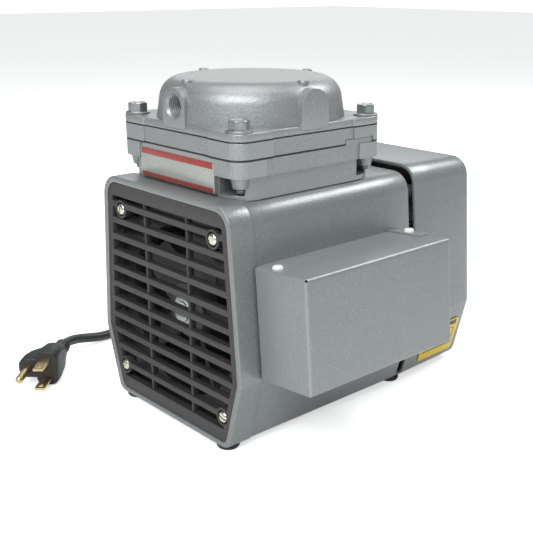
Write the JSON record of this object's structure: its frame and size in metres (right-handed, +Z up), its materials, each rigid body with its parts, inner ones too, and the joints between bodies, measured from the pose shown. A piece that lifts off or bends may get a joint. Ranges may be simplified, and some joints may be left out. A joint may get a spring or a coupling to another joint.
{
  "type": "diaphragm vacuum pump",
  "caption": "Oil-less diaphragm vacuum pump: motor in a square-section shell with a front grille, clamped square head with threaded ports, side electrical box and mains lead.",
  "frame": {"origin": "centre of the four feet, on the surface the pump stands on", "axes": "+Z up, -Y towards the intake grille along the motor shaft, +X towards the side electrical box"},
  "size_m": [0.2618, 0.2519, 0.1974],
  "materials": {
    "shell_paint": "grey hammered enamel, semi-gloss, lighter on the rounded edges",
    "cast_paint": "silver-grey sprayed casting, satin",
    "black_plastic": "moulded black, fine grain",
    "nickel_screws": "bright nickel",
    "steel": "turned and ground",
    "dark_steel": "black oxide",
    "spring_steel": "rolled strip",
    "zinc_bolts": "zinc plated, slightly blue",
    "bare_aluminium": "die cast, unpainted",
    "cast_iron": "sintered",
    "lamination": "stacked laminations, varnished",
    "copper_winding": "enamelled copper under varnish",
    "diaphragm_rubber": "fabric-backed rubber",
    "gasket": "compressed fibre",
    "fan_plastic": "moulded",
    "galvanised": "zinc coated sheet",
    "white_screws": "white enamelled heads",
    "capacitor_can": "drawn can",
    "lead_insulation": "coloured lead insulation",
    "black_rubber": "moulded, slight sheen",
    "cord_jacket": "round jacket, slight sheen",
    "brass": "plain, lightly tarnished",
    "foot_rubber": "soft moulded",
    "plate_enamel": "light plate with two dull red bands",
    "yellow_film": "printed film, faded blocks only",
    "plate_metal": "satin plate with plain ruled panels"
  },
  "bodies": {
    "base": {"front_shell": "shell_paint", "intake_grille": "black_plastic", "grille_screws": "nickel_screws", "fan_shroud": "black_plastic", "rear_hood": "shell_paint", "hood_screws": "nickel_screws", "pump_housing": "cast_paint", "housing_screws": "steel", "diaphragm": "diaphragm_rubber", "valve_plate": "cast_paint", "reed_stops": "spring_steel", "reed_screws": "steel", "head_gasket": "gasket", "head_cover": "cast_paint", "head_bolts": "zinc_bolts", "stator_core": "lamination", "stator_coils": "copper_winding", "thermal_protector": "black_plastic", "front_bracket": "bare_aluminium", "rear_bracket": "bare_aluminium", "motor_bearings": "steel", "through_bolts": "steel", "box_base": "galvanised", "box_cover": "shell_paint", "box_screws": "white_screws", "run_capacitor": "capacitor_can", "capacitor_clip": "steel", "lead_grommet": "black_rubber", "motor_leads": "lead_insulation", "strain_relief": "black_rubber", "cord_lead": "cord_jacket", "cord_coil": "cord_jacket", "cord_tie": "black_plastic", "cord_run": "cord_jacket", "plug_body": "black_rubber", "plug_blades": "brass", "plug_ground_pin": "brass", "rubber_feet": "foot_rubber", "nameplate": "plate_enamel", "caution_label": "yellow_film", "rating_plate": "plate_metal"},
    "rotor": {"motor_shaft": "steel", "rotor_core": "lamination", "rotor_cage": "bare_aluminium", "eccentric": "cast_iron", "eccentric_screw": "dark_steel", "rod_bearing_inner": "steel", "bearing_inners": "steel", "cooling_fan": "fan_plastic", "fan_nut": "steel"},
    "rod": {"connecting_rod": "bare_aluminium", "rod_bearing": "steel", "diaphragm_retainer": "bare_aluminium", "retainer_screw": "steel"},
    "intake_blade": {"intake_reed": "spring_steel"},
    "exhaust_blade": {"exhaust_reed": "spring_steel"}
  },
  "joints": [
    {"name": "shaft_spin", "type": "hinge", "parent": "base", "child": "rotor", "pos_m": [0, 0, 0.066], "axis": [0, 1, 0], "continuous": true, "deforming": ["diaphragm"]},
    {"name": "rod_on_crank", "type": "hinge", "parent": "rotor", "child": "rod", "pos_m": [0, -0.0087, 0.0635], "axis": [0, 1, 0], "continuous": true},
    {"name": "intake_reed_open", "type": "hinge", "parent": "base", "child": "intake_blade", "pos_m": [-0.005, -0.0402, 0.1653], "axis": [0, 1, 0], "range_deg": [0, 6], "stiffness_Nm_per_rad": 0.02},
    {"name": "exhaust_reed_open", "type": "hinge", "parent": "base", "child": "exhaust_blade", "pos_m": [-0.005, 0.0228, 0.1691], "axis": [0, -1, 0], "range_deg": [0, 6], "stiffness_Nm_per_rad": 0.02}
  ],
  "couplings": [
    {"joint": "rod_on_crank", "follows": "shaft_spin", "ratio": -1}
  ]
}
